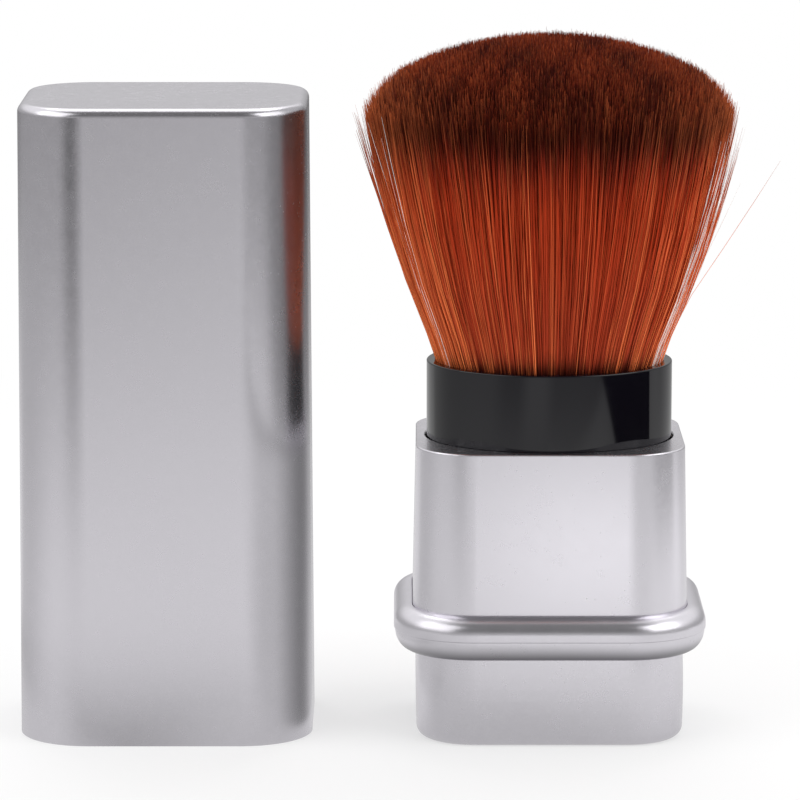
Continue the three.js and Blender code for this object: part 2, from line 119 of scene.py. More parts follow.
@dataclass(frozen=True)
class RoundedSection:
    """A rectangle with round corners, which the cap, collar, ring and base share."""

    half_x: float
    half_y: float
    corner: float
    corner_steps: int = 20
    side_steps: int = 10
    side_ease: float = 0.01

    def outline(self, offset: float) -> np.ndarray:
        """The outline grown by an offset, as (x, y) rows.

        Each corner is a quarter circle about a fixed centre, whose radius grows by the offset, and
        each side is the straight line between two corners' ends.

        Args:
            offset: How far outside the section the outline lies.

        Returns:
            Points in order round the outline.
        """
        angle = np.linspace(0, 1, self.corner_steps + 1)[None, :] + np.arange(4)[:, None]
        signs = np.array([(1, 1), (-1, 1), (-1, -1), (1, -1)], dtype=float)
        centres = signs * (self.half_x - self.corner, self.half_y - self.corner)
        reach = self.corner + offset
        round_x = centres[:, :1] + reach * np.cos(angle * math.pi / 2)
        round_y = centres[:, 1:] + reach * np.sin(angle * math.pi / 2)
        corners = np.stack((round_x, round_y), axis=2)
        starts = corners[:, -1:, :]
        ends = np.roll(corners, -1, axis=0)[:, :1, :]
        middle = np.linspace(0, 1, self.side_steps + 1)[1:-1]
        share = np.concatenate(([self.side_ease], middle, [1 - self.side_ease]))[None, :, None]
        sides = starts + (ends - starts) * share
        return np.concatenate((corners, sides), axis=1).reshape(-1, 2)


@dataclass(frozen=True)
class Oval:
    """An ellipse, which the ferrule, its bore and the hair share."""

    half_x: float
    half_y: float
    steps: int = 160

    def outline(self, offset: float) -> np.ndarray:
        """The ellipse whose half sizes are grown by an offset, as (x, y) rows."""
        turn = np.arange(self.steps) * 2 * math.pi / self.steps
        half_x, half_y = self.half_x + offset, self.half_y + offset
        return np.stack((half_x * np.cos(turn), half_y * np.sin(turn)), axis=1)

    def under(self, points: np.ndarray) -> np.ndarray:
        """Each point drawn along its ray from the middle onto the ellipse."""
        scale = np.hypot(points[:, 0] / self.half_x, points[:, 1] / self.half_y)
        return points / scale[:, None]


def rings_of(section: RoundedSection | Oval, profile: np.ndarray) -> np.ndarray:
    """A section's outline at each (offset, height) of a profile, as (rings, points, 3)."""
    return np.stack([raised(section.outline(offset), height) for offset, height in held(profile)])


LONG_SPAN = 0.8 * MM
HOLD = 0.04 * MM
SHARP = math.radians(35)


def held(profile: np.ndarray) -> np.ndarray:
    """A profile with a point close to both ends of each long span, so that its walls shade flat.

    Args:
        profile: Rows of (offset, height).

    Returns:
        The rows, and on each long span the two points a hold's length inside its ends.
    """
    step = np.diff(profile, axis=0)
    size = np.hypot(step[:, 0], step[:, 1])
    near = (HOLD / np.maximum(size, HOLD))[:, None]
    rows = np.stack((profile[:-1], profile[:-1] + step * near, profile[1:] - step * near), axis=1)
    kept = np.stack((np.ones(len(size), bool), size > LONG_SPAN, size > LONG_SPAN), axis=1)
    return np.concatenate((rows[kept], profile[-1:]))


def raised(points: np.ndarray, height: float) -> np.ndarray:
    """Flat (x, y) points at one height."""
    return np.column_stack((points, np.full(len(points), height)))


def lofted(name: str, rings: np.ndarray, axis: Axis, wraps: bool) -> bpy.types.Object:
    """A skin over rings of points, as a smooth mesh object.

    Quad (i, j) joins point j and j + 1 of ring i to the same points of ring i + 1.

    Args:
        name: The object's name.
        rings: Points as (rings, points, 3), each ring in the same order.
        axis: The upright axis that the rings are moved to.
        wraps: Whether the last ring joins the first. Otherwise a flat face closes both ends.

    Returns:
        The object, with its place in its mesh and its faces pointing out.
    """
    count, points = rings.shape[:2]
    places = rings.reshape(-1, 3) + (*axis.value, 0.0)
    row = np.arange(count if wraps else count - 1)[:, None]
    column = np.arange(points)[None, :]
    here, there = row * points, (row + 1) % count * points
    onward = (column + 1) % points
    quads = np.stack((here + column, here + onward, there + onward, there + column), axis=2).reshape(-1, 4)
    faces = quads.tolist()
    if not wraps:
        faces.append(list(range(points))[::-1])
        faces.append(list(range((count - 1) * points, count * points)))
    if enclosed(places, quads) < 0:
        faces = [face[::-1] for face in faces]
    mesh = bpy.data.meshes.new(name)
    mesh.from_pydata(places.tolist(), [], faces)
    mesh.shade_smooth()
    mesh.set_sharp_from_angle(angle=SHARP)
    return placed(name, mesh)


def enclosed(places: np.ndarray, quads: np.ndarray) -> float:
    """The volume that quads enclose about their middle, by its sign: negative if they face in."""
    corner = places[quads] - places.mean(axis=0)
    return float(np.einsum("ij,ij->i", corner[:, 0], np.cross(corner[:, 1], corner[:, 2])).sum())


def placed(name: str, mesh: bpy.types.Mesh) -> bpy.types.Object:
    """A mesh as an object at the origin."""
    piece = bpy.data.objects.new(name, mesh)
    bpy.context.scene.collection.objects.link(piece)
    return piece


# Shader networks and finishes


@dataclass(frozen=True)
class Ramp:
    """A smooth step over a value: its start up to low, and its end from high on."""

    low: float
    high: float
    start: float = 0.0
    end: float = 1.0


@dataclass(frozen=True)
class Network:
    """A shader's node tree, with a short call for each kind of node that the scene uses."""

    tree: bpy.types.NodeTree

    def feed(self, target: Socket, value: object) -> None:
        """Links a socket to an input, or gives the input a constant."""
        if isinstance(value, Socket):
            self.tree.links.new(value, target)
        else:
            target.default_value = value

    def node(self, kind: str, inputs: dict[str | int, object] | None = None) -> bpy.types.Node:
        """Adds a node, and feeds the inputs that are named or numbered."""
        made = self.tree.nodes.new("ShaderNode" + kind)
        for label, value in (inputs or {}).items():
            self.feed(made.inputs[label], value)
        return made

    def arithmetic(self, operation: str, first: object, second: object) -> Socket:
        """A Math node on two sockets or numbers, and its result."""
        node = self.node("Math", {0: first, 1: second})
        node.operation = operation
        return node.outputs[0]

    def plus(self, *values: object) -> Socket:
        """The sum of the values."""
        return reduce(partial(self.arithmetic, "ADD"), values)

    def times(self, *values: object) -> Socket:
        """The product of the values."""
        return reduce(partial(self.arithmetic, "MULTIPLY"), values)

    def most(self, *values: object) -> Socket:
        """The greatest of the values."""
        return reduce(partial(self.arithmetic, "MAXIMUM"), values)

    def minus(self, first: object, second: object) -> Socket:
        """The first value less the second."""
        return self.arithmetic("SUBTRACT", first, second)

    def ramp(self, value: Socket, step: Ramp) -> Socket:
        """A smooth step over a value."""
        limits = {"From Min": step.low, "From Max": step.high, "To Min": step.start, "To Max": step.end}
        node = self.node("MapRange", {"Value": value, **limits})
        node.interpolation_type = "SMOOTHSTEP"
        return node.outputs["Result"]

    def between(self, share: Socket, low: float, high: float) -> Socket:
        """A value that goes from low to high with a share."""
        return self.plus(self.times(share, high - low), low)

    def mixed(self, share: Socket, first: object, second: object) -> Socket:
        """One value blended into another by a share."""
        return self.plus(self.times(self.minus(1.0, share), first), self.times(share, second))

    def stepped(self, operation: str, value: Socket, other: Vector = (0.0, 0.0, 0.0)) -> Socket:
        """A Vector Math node on a vector and a constant, and its vector or its length."""
        node = self.node("VectorMath", {0: value, 1: other})
        node.operation = operation
        return node.outputs["Value" if operation == "LENGTH" else "Vector"]

    def parts(self, vector: Socket) -> tuple[Socket, ...]:
        """A vector's X, Y and Z."""
        return tuple(self.node("SeparateXYZ", {0: vector}).outputs)

    def place(self, kind: str = "Object") -> Socket:
        """The texture coordinates of a kind."""
        return self.node("TexCoord").outputs[kind]

    def noise(self, vector: Socket, scale: object, detail: float) -> Socket:
        """A Noise Texture's value at a vector, from 0 to 1 about a middle of 0.5."""
        return self.node("TexNoise", {"Vector": vector, "Scale": scale, "Detail": detail}).outputs[0]

    def blended(self, share: Socket, below: object, above: object, kind: str = "MIX") -> Socket:
        """A colour blended over another by a share."""
        node = self.node("Mix")
        node.data_type, node.blend_type = "RGBA", kind
        for label, value in (("A", below), ("B", above), ("Factor", share)):
            self.feed(node.inputs[label], value)
        return node.outputs["Result"]

    def grouped(self, name: str, vector: Socket, scale: float) -> bpy.types.Node:
        """A shared group placed in this tree with its own scale."""
        node = self.node("Group")
        node.node_tree = bpy.data.node_groups[name]
        self.feed(node.inputs["Vector"], vector)
        self.feed(node.inputs["Scale"], scale)
        return node

    def glow_over(self, share: Socket, base: Socket, strength: Socket) -> None:
        """Sends the material's output an even glow that lies over a shader by a share."""
        glow = self.node("Emission", {"Strength": strength})
        mix = self.node("MixShader", {0: share, 1: base, 2: glow.outputs[0]})
        self.feed(self.tree.nodes["Material Output"].inputs["Surface"], mix.outputs[0])


def opaque(colour: Colour, gain: float = 1.0) -> tuple[float, ...]:
    """A colour times a gain, no brighter than white, with full alpha."""
    return (*(min(1.0, gain * channel) for channel in colour), 1.0)


def new_material(name: str) -> tuple[bpy.types.Material, Network]:
    """A material with its default shader, and its network."""
    made = bpy.data.materials.new(name)
    made.use_nodes = True
    return made, Network(made.node_tree)


def group_of(name: str, scale: float, *outputs: str) -> Network:
    """An empty group with the nodes "in", which gives Vector and Scale, and "out", which takes values."""
    tree = bpy.data.node_groups.new(name, "ShaderNodeTree")
    tree.interface.new_socket("Vector", in_out="INPUT", socket_type="NodeSocketVector")
    tree.interface.new_socket("Scale", in_out="INPUT", socket_type="NodeSocketFloat").default_value = scale
    for label in outputs:
        tree.interface.new_socket(label, in_out="OUTPUT", socket_type="NodeSocketFloat")
    tree.nodes.new("NodeGroupInput").name = "in"
    tree.nodes.new("NodeGroupOutput").name = "out"
    return Network(tree)


GRAIN_SCALE = 2500.0
COARSE_SHARE = 0.23  # of the grain's scale
MARK_SCALE = 60.0
FINE_MARKS = 7.0  # times the marks' scale
MARK_GAIN, MARK_FLOOR = 4.0, 0.6


def fine_grain_group() -> None:
    """Grain of a blasted or moulded surface: a height, and a value that swings about 0 with it."""
    net = group_of("fine_grain", GRAIN_SCALE, "Height", "Swing")
    vector, scale = net.tree.nodes["in"].outputs[:2]
    sink = net.tree.nodes["out"].inputs
    fine = net.noise(vector, scale, 3.0)
    coarse = net.noise(vector, net.times(scale, COARSE_SHARE), 2.0)
    height = net.times(net.plus(fine, coarse), 0.5)
    net.feed(sink["Height"], height)
    net.feed(sink["Swing"], net.minus(height, 0.5))


def handling_group() -> None:
    """Faint marks of handling: a mask of broad soft patches broken by finer ones, from 0 to 1."""
    net = group_of("handling", MARK_SCALE, "Mask")
    vector, scale = net.tree.nodes["in"].outputs[:2]
    broad = net.noise(vector, scale, 1.0)
    fine = net.noise(vector, net.times(scale, FINE_MARKS), 3.0)
    mixed = net.times(broad, fine, MARK_GAIN)
    mask = net.arithmetic("MINIMUM", net.minus(mixed, MARK_FLOOR), 1.0)
    net.feed(net.tree.nodes["out"].inputs["Mask"], net.most(mask, 0.0))


@dataclass(frozen=True)
class SurfaceFinish:
    """A rigid surface: its colour, gloss, and the grain and marks that break them up."""

    name: str
    colour: Colour
    roughness: float
    metallic: float = 0.0
    grain_scale: float = GRAIN_SCALE
    grain_depth: float = 0.0000007
    grain_swing: float = 0.06
    mark_swing: float = 0.05
    tint_swing: float = 0.06
    coat: float = 0.0
    coat_roughness: float = 0.04
    # painted shade: darkens the colour over a span of heights
    shade: Ramp | None = None

    def material(self) -> bpy.types.Material:
        """The finish as a material, made once and then reused.

        Returns:
            A Principled material whose base colour, roughness and bump follow the shared groups. A
            painted shade over the height darkens it to a share of its colour.
        """
        known = bpy.data.materials.get(self.name)
        if known:
            return known
        made, net = new_material(self.name)
        shader = net.tree.nodes["Principled BSDF"].inputs
        shader["Metallic"].default_value = self.metallic
        shader["Coat Weight"].default_value = self.coat
        shader["Coat Roughness"].default_value = self.coat_roughness
        place = net.place()
        grain = net.grouped("fine_grain", place, self.grain_scale).outputs
        marks = net.grouped("handling", place, MARK_SCALE).outputs
        swing = net.times(grain["Swing"], self.grain_swing)
        worn = net.times(marks["Mask"], self.mark_swing)
        net.feed(shader["Roughness"], net.plus(swing, worn, self.roughness))
        net.feed(shader["Base Color"], self.tinted(net, place, grain["Swing"]))
        bump = net.node("Bump", {"Distance": self.grain_depth, "Height": grain["Height"]})
        net.feed(shader["Normal"], bump.outputs["Normal"])
        return made

    def tinted(self, net: Network, place: Socket, swing: Socket) -> Socket:
        """The colour, a little lighter and darker with the grain, and darker in its painted shade."""
        dark, light = (opaque(self.colour, 1 + side * self.tint_swing) for side in (-1, 1))
        colour = net.blended(net.plus(swing, 0.5), dark, light)
        if not self.shade:
            return colour
        step = Ramp(self.shade.low, self.shade.high)
        return net.blended(net.ramp(net.parts(place)[2], step), opaque(self.colour, self.shade.start), colour)


SILVER = (0.80, 0.778, 0.828)
SATIN_SILVER = SurfaceFinish("blasted_aluminium", SILVER, 0.26, 1.0, grain_swing=0.08, mark_swing=0.008)
# painted shade: the skirt darkens towards its foot, under the bead
SKIRT_PAINTED_SHADE = Ramp(12.4 * MM, 14.6 * MM, 0.32)
SKIRT_SILVER = SurfaceFinish("aluminium_painted_shade", SILVER, 0.28, 1.0, mark_swing=0.008, shade=SKIRT_PAINTED_SHADE)
BEAD_SILVER = SurfaceFinish("turned_aluminium", SILVER, 0.3, 1.0, grain_depth=0.0000006, mark_swing=0.008)
GLOSS_BLACK = SurfaceFinish(
    "black_lacquer", (0.003, 0.0025, 0.0045), 0.05, 0.0, 900.0, 0.0000003, grain_swing=0.02, mark_swing=0.02
)
WHITE_PLASTIC = SurfaceFinish("moulded_white", (0.78, 0.78, 0.75), 0.45, grain_depth=0.000006)
GREY_PLASTIC = SurfaceFinish("moulded_grey", (0.09, 0.09, 0.1), 0.5, grain_depth=0.000006)
SILICONE = SurfaceFinish("silicone_rubber", (0.02, 0.02, 0.022), 0.62, grain_depth=0.000004)
SET_RESIN = SurfaceFinish("set_resin", (0.25, 0.12, 0.05), 0.3, coat=0.4)


FIBRE_MAP = "OFBake"


@dataclass(frozen=True)
class FibreFinish:
    """Dyed synthetic hair: its colours from root to tip, with painted shade at the root and painted light at
    the tip, and how much single fibres differ.
    """

    name: str = "copper_hair"
    span: float = 48.0 * MM
    shades: tuple[tuple[float, Colour], ...] = (
        # painted shade: the stops from 36 mm under the tip down darken towards the root
        (47.0, (0.020, 0.005, 0.004)),
        (42.0, (0.050, 0.010, 0.007)),
        (39.0, (0.14, 0.021, 0.011)),
        (36.0, (0.31, 0.040, 0.017)),
        (32.0, (0.45, 0.056, 0.022)),
        (25.0, (0.49, 0.056, 0.021)),
        (18.0, (0.52, 0.055, 0.018)),
        (11.4, (0.50, 0.049, 0.015)),
        (8.2, (0.40, 0.037, 0.013)),
        (5.8, (0.25, 0.024, 0.011)),
        (4.0, (0.12, 0.0125, 0.0075)),
        (2.7, (0.050, 0.0057, 0.0044)),
        (1.6, (0.042, 0.0050, 0.0040)),
        # painted light: the last stops lighten the tip
        (0.7, (0.080, 0.0072, 0.0042)),
        (0.25, (0.17, 0.021, 0.007)),
        (0.0, (0.34, 0.058, 0.017)),
    )
    roughness: float = 0.5
    specular: float = 0.1
    specular_tint: Colour = (1.0, 0.4, 0.2)
    darkest: Colour = (0.34, 0.26, 0.24)
    lightest: Colour = (1.0, 0.25, 0.08)
    pale: Colour = (1.0, 0.92, 0.88)
    pale_from: float = 0.95
    root_light: float = 2.5
    light_fall: float = 1.95

    def material(self) -> bpy.types.Material:
        """The fibre material. Its map's U is the fibre's tone, and V falls from 1 at its tip.

        Returns:
            A Principled material whose colour comes from a ramp over V. Tones under 0.5 darken it,
            those above lighten it, more so towards the root, and the highest make the pale fibres. The
            lighter tones are partly chance and partly painted light at the tuft's sides and back.
        """
        made, net = new_material(self.name)
        shader = net.tree.nodes["Principled BSDF"].inputs
        shader["Roughness"].default_value = self.roughness
        shader["Specular IOR Level"].default_value = self.specular
        shader["Specular Tint"].default_value = opaque(self.specular_tint)
        chart_node = net.node("UVMap")
        chart_node.uv_map = FIBRE_MAP
        tone, along, _ = net.parts(chart_node.outputs["UV"])
        doubled = net.times(tone, 2.0)
        under = net.most(net.minus(1.0, doubled), 0.0)
        over = net.most(net.minus(doubled, 1.0), 0.0)
        depth = net.blended(under, self.dye_and_painted_light(net, along), opaque(self.darkest), "MULTIPLY")
        light = net.times(over, net.minus(self.root_light, net.times(along, self.light_fall)))
        lit = net.blended(light, depth, opaque(self.lightest))
        bleached = net.arithmetic("GREATER_THAN", tone, self.pale_from)
        net.feed(shader["Base Color"], net.blended(bleached, lit, opaque(self.pale)))
        return made

    def dye_and_painted_light(self, net: Network, along: Socket) -> Socket:
        """The colour ramp over V: dye, with painted shade towards the root and painted light at the tip. Its
        stops are given in millimetres under the tip.
        """
        node = net.node("ValToRGB", {0: along})
        stops = node.color_ramp.elements
        stops.remove(stops[1])
        for number, (depth, shade) in enumerate(self.shades):
            share = 1 - depth * MM / self.span
            stop = stops[0] if number == 0 else stops.new(share)
            stop.position = share
            stop.color = opaque(shade)
        return node.outputs[0]


def dress(piece: bpy.types.Object, finish: SurfaceFinish | FibreFinish) -> None:
    """Gives a piece one finish in place of any that it has."""
    piece.data.materials.clear()
    piece.data.materials.append(finish.material())


def settle(piece: bpy.types.Object, body: str, slot: str, *nodes: str) -> None:
    """Lets a dressed piece ride on its body in place of CAD nodes, and logs it.

    Args:
        piece: The finished object.
        body: The body that it moves with.
        slot: The name of a material slot, which is not used.
        nodes: The CAD nodes that it stands for.
    """
    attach(piece, body)
    if nodes:
        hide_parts(*nodes)
    LOG.info("%s: %d faces on %s", piece.name, len(piece.data.polygons), body)


# Rigid sub-assemblies

BODY_CORNER = 8.4 * MM  # of the collar's foot, which every other section is offset from


def half_sizes(node: str) -> Span:
    """Half of a node's width and depth."""
    low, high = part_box(node)
    return (high[0] - low[0]) / 2, (high[1] - low[1]) / 2


def heights(node: str) -> Span:
    """A node's lowest and highest point."""
    low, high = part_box(node)
    return float(low[2]), float(high[2])


def body_section() -> RoundedSection:
    """The collar's outline at its foot, which the other rounded pieces are grown from."""
    return RoundedSection(*half_sizes("collar_shell"), BODY_CORNER)


@dataclass
class BaseCup:
    """The drawn cup that the brush stands on."""

    inset: float = 0.5 * MM
    wall: float = 0.6 * MM
    edge: float = 1.5 * MM
    swell: float = 0.12 * MM
    levels: int = 8
    steps: int = 12

    def profile(self) -> np.ndarray:
        """From the middle of the underside round the edge, up the wall, over the lip and down inside."""
        foot, top = heights("base_shell")
        outer = -self.inset
        inner = outer - self.wall
        inside = self.edge - self.wall
        round_edge = arc((outer - self.edge, foot + self.edge), (self.edge, self.edge), (-1, 0), self.steps)
        support = [(outer - 3 * self.edge, foot), (outer - self.edge - EASE, foot)]
        way = np.linspace(0, 1, self.levels)[1:]
        bulge = self.swell * (np.sin(math.pi * way) - way / 2)
        wall = np.stack((outer + bulge, foot + self.edge + (top - foot - self.edge) * way), axis=1)
        lip = [(inner, top)]
        hollow = arc((inner - inside, foot + self.wall + inside), (inside, inside), (0, -1), self.steps // 2)
        return np.concatenate((support, round_edge, wall, lip, hollow))

    def build(self) -> None:
        """Makes the cup."""
        rings = rings_of(body_section(), self.profile())
        cup = lofted("base_cup", rings, Axis.BRUSH, wraps=False)
        dress(cup, SATIN_SILVER)
        settle(cup, "base", "satin_silver", "base_shell")


@dataclass
class SlidingCollar:
    """The collar that slides up over the ferrule: its tapered shell, bead and skirt."""

    wall: float = 0.5 * MM
    taper: float = 0.45 * MM
    rim: float = 0.2 * MM
    mouth_edge: float = 0.12 * MM
    mouth_hold: float = 0.06
    bore_inset: float = 1.65 * MM
    bead_reach: float = 2.6 * MM
    crown_reach: float = 0.3 * MM
    bead_inset: float = 0.05 * MM
    bead_bevel: float = 0.1 * MM
    lower_edge: float = 0.12 * MM
    skirt_top: float = 2.45 * MM
    skirt_foot: float = 0.4 * MM
    skirt_inside: float = 1.6 * MM
    skirt_ledge: float = 2.1 * MM
    skirt_lip: float = 0.6 * MM
    seam: float = 0.03 * MM
    steps: int = 14

    def build(self) -> None:
        """Makes the shell, the bead and the skirt."""
        self.shell()
        self.bead()
        self.skirt()

    def shell(self) -> None:
        """The drawn shell: up the tapered wall, over the rim, in to the oval mouth and down inside."""
        section = body_section()
        foot, top = heights("collar_shell")
        bead_top = heights("flange_ring")[1]
        rim = arc((-self.taper - self.rim, top - self.rim), (self.rim, self.rim), (0, 1), self.steps)
        outside = np.concatenate(([(0.0, foot), (0.0, bead_top)], rim))
        inner_top = top - self.wall
        inside = np.array([(-self.taper - self.wall, inner_top), (-self.wall, bead_top), (-self.wall, foot)])
        mouth = Oval(section.half_x - self.bore_inset, section.half_y - self.bore_inset)
        edge = section.outline(-self.taper - self.rim)
        flat = mouth.under(edge)
        widened = Oval(mouth.half_x + self.mouth_edge, mouth.half_y + self.mouth_edge).under(edge)
        shoulder = edge + (widened - edge) * self.mouth_hold
        rings = np.concatenate(
            (
                rings_of(section, outside),
                raised(shoulder, top)[None],
                raised(widened, top)[None],
                raised(flat, top - self.mouth_edge)[None],
                raised(flat, inner_top)[None],
                rings_of(section, inside),
            )
        )
        piece = lofted("collar", rings, Axis.BRUSH, wraps=True)
        dress(piece, SATIN_SILVER)
        settle(piece, "sleeve", "satin_silver", "collar_shell")

    def bead(self) -> None:
        """The bead: a quarter round over its reach, a small lower edge, and a flat underside."""
        foot, top = heights("flange_ring")
        side = self.bead_reach - self.crown_reach
        crown = arc((self.crown_reach, top - side), (side, side), (1, 0), 2 * self.steps)
        edge = self.lower_edge
        lower = arc((self.bead_reach - edge, foot + edge), (edge, edge), (0, -1), self.steps)
        inset, bevel = self.bead_inset, self.bead_bevel
        inner = np.array([(inset, foot), (inset, top - bevel), (inset + bevel, top)])
        rings = rings_of(body_section(), np.concatenate((inner, crown, lower)))
        piece = lofted("bead", rings, Axis.BRUSH, wraps=True)
        dress(piece, BEAD_SILVER)
        settle(piece, "sleeve", "satin_silver", "flange_ring")

    def skirt(self) -> None:
        """The skirt under the bead: a quarter of an ellipse that turns in towards the base."""
        foot = heights("retainer_skirt")[0]
        seam = heights("flange_ring")[0] - self.seam
        run = self.skirt_top - self.skirt_foot
        outside = arc((self.skirt_foot, seam), (run, seam - foot), (-1, 0), 2 * self.steps)
        ledge, lip = foot + self.skirt_ledge, foot + self.skirt_lip
        inside = np.array([(-self.skirt_inside, seam), (-self.skirt_inside, ledge), (0.0, lip), (0.0, foot)])
        rings = rings_of(body_section(), np.concatenate((outside, inside)))
        piece = lofted("skirt", rings, Axis.BRUSH, wraps=True)
        dress(piece, SKIRT_SILVER)
        settle(piece, "sleeve", "satin_silver", "retainer_skirt")


@dataclass
class Ferrule:
    """The gloss black oval tube that holds the hair."""

    wall: float = 1.3 * MM
    edge: float = 0.2 * MM
    steps: int = 8

    def build(self) -> None:
        """Makes the tube: up outside, over two rounded edges, and down inside."""
        foot, top = heights("ferrule")
        outer = arc((-self.edge, top - self.edge), (self.edge, self.edge), (0, 1), self.steps)
        inner = arc((self.edge - self.wall, top - self.edge), (self.edge, self.edge), (1, 2), self.steps)
        profile = np.concatenate(([(-self.wall, foot), (0.0, foot)], outer, inner))
        rings = rings_of(Oval(*half_sizes("ferrule")), profile)
        piece = lofted("ferrule_tube", rings, Axis.BRUSH, wraps=True)
        dress(piece, GLOSS_BLACK)
        settle(piece, "base", "gloss_black", "ferrule")


@dataclass
class Cap:
    """The shell of the tall drawn cap, whose liner keeps its CAD shape."""

    wall: float = 0.5 * MM
    taper: float = 0.5 * MM
    edge: float = 1.2 * MM
    lip: float = 0.1 * MM
    steps: int = 18

    def build(self) -> None:
        """Makes the shell, from the middle of its closed end down outside and back up inside."""
        foot, top = heights("cap_shell")
        body = body_section()
        reach = half_sizes("cap_shell")[0] - body.half_x
        end = reach - self.taper
        inside = self.edge - self.wall
        over = arc((end - self.edge, top - self.edge), (self.edge, self.edge), (1, 0), self.steps)
        support = [(end - 4 * self.edge, top), (end - self.edge - EASE, top)]
        lip = [(reach, foot + self.lip), (reach - self.lip, foot), (reach - self.wall, foot)]
        hollow = arc(
            (end - self.wall - inside, top - self.wall - inside), (inside, inside), (0, 1), self.steps // 2
        )
        rings = rings_of(body, np.concatenate((support, over, lip, hollow)))
        piece = lofted("cap", rings, Axis.CAP, wraps=False)
        dress(piece, SATIN_SILVER)
        piece.visible_glossy = False  # so that the brush's reflections agree with the photograph
        settle(piece, "cap", "satin_silver", "cap_shell")


class HiddenPieces:
    """The CAD nodes that stay as they are, inside the others, and get their own finishes."""

    FINISHES: dict[str, SurfaceFinish] = {
        "base_core": GREY_PLASTIC,
        "carrier": GLOSS_BLACK,
        "friction_ring": SILICONE,
        "hair_plug": SET_RESIN,
        "guide_tube": WHITE_PLASTIC,
        "cap_liner": WHITE_PLASTIC,
    }

    def build(self, nodes: dict[str, bpy.types.Object]) -> None:
        """Dresses each node that no made piece replaces."""
        for name, finish in self.FINISHES.items():
            dress(nodes[name], finish)
            LOG.info("%s keeps its CAD shape", name)
        nodes["cap_liner"].visible_glossy = False  # as the cap round it


# Tuft


